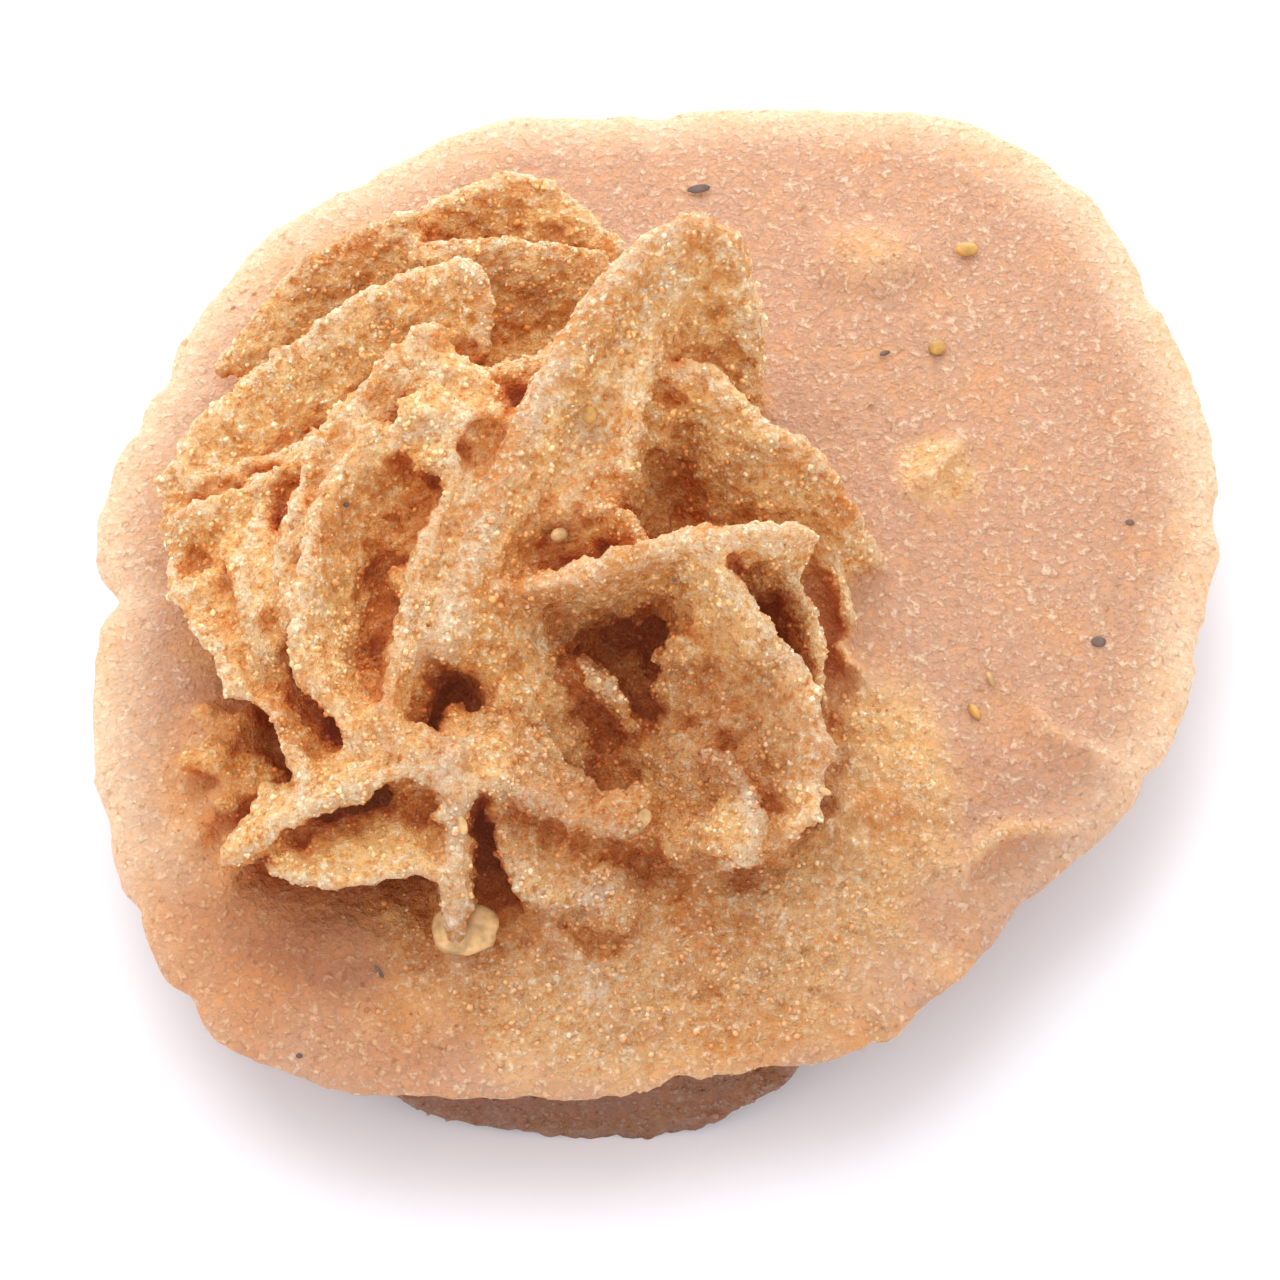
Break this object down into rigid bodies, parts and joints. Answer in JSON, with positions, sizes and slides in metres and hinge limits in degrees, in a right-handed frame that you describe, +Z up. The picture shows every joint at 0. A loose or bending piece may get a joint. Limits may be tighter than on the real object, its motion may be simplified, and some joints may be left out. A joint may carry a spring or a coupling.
{
  "type": "gypsum sand rose",
  "caption": "Desert rose: a large lens-shaped gypsum crystal with a rosette of thin sandy blades grown through its top.",
  "frame": {"origin": "bottom centre of the bounding box, on the flat worn base", "axes": "+Z up, along the shortest extent; +X to the side away from the rosette; -Y towards the radiating star of blades"},
  "size_m": [0.0404, 0.0404, 0.0159],
  "materials": {
    "sandy_gypsum": "matte, sandy, a little translucent at thin edges"
  },
  "bodies": {
    "root": {"sand_rose": "sandy_gypsum"}
  },
  "joints": []
}
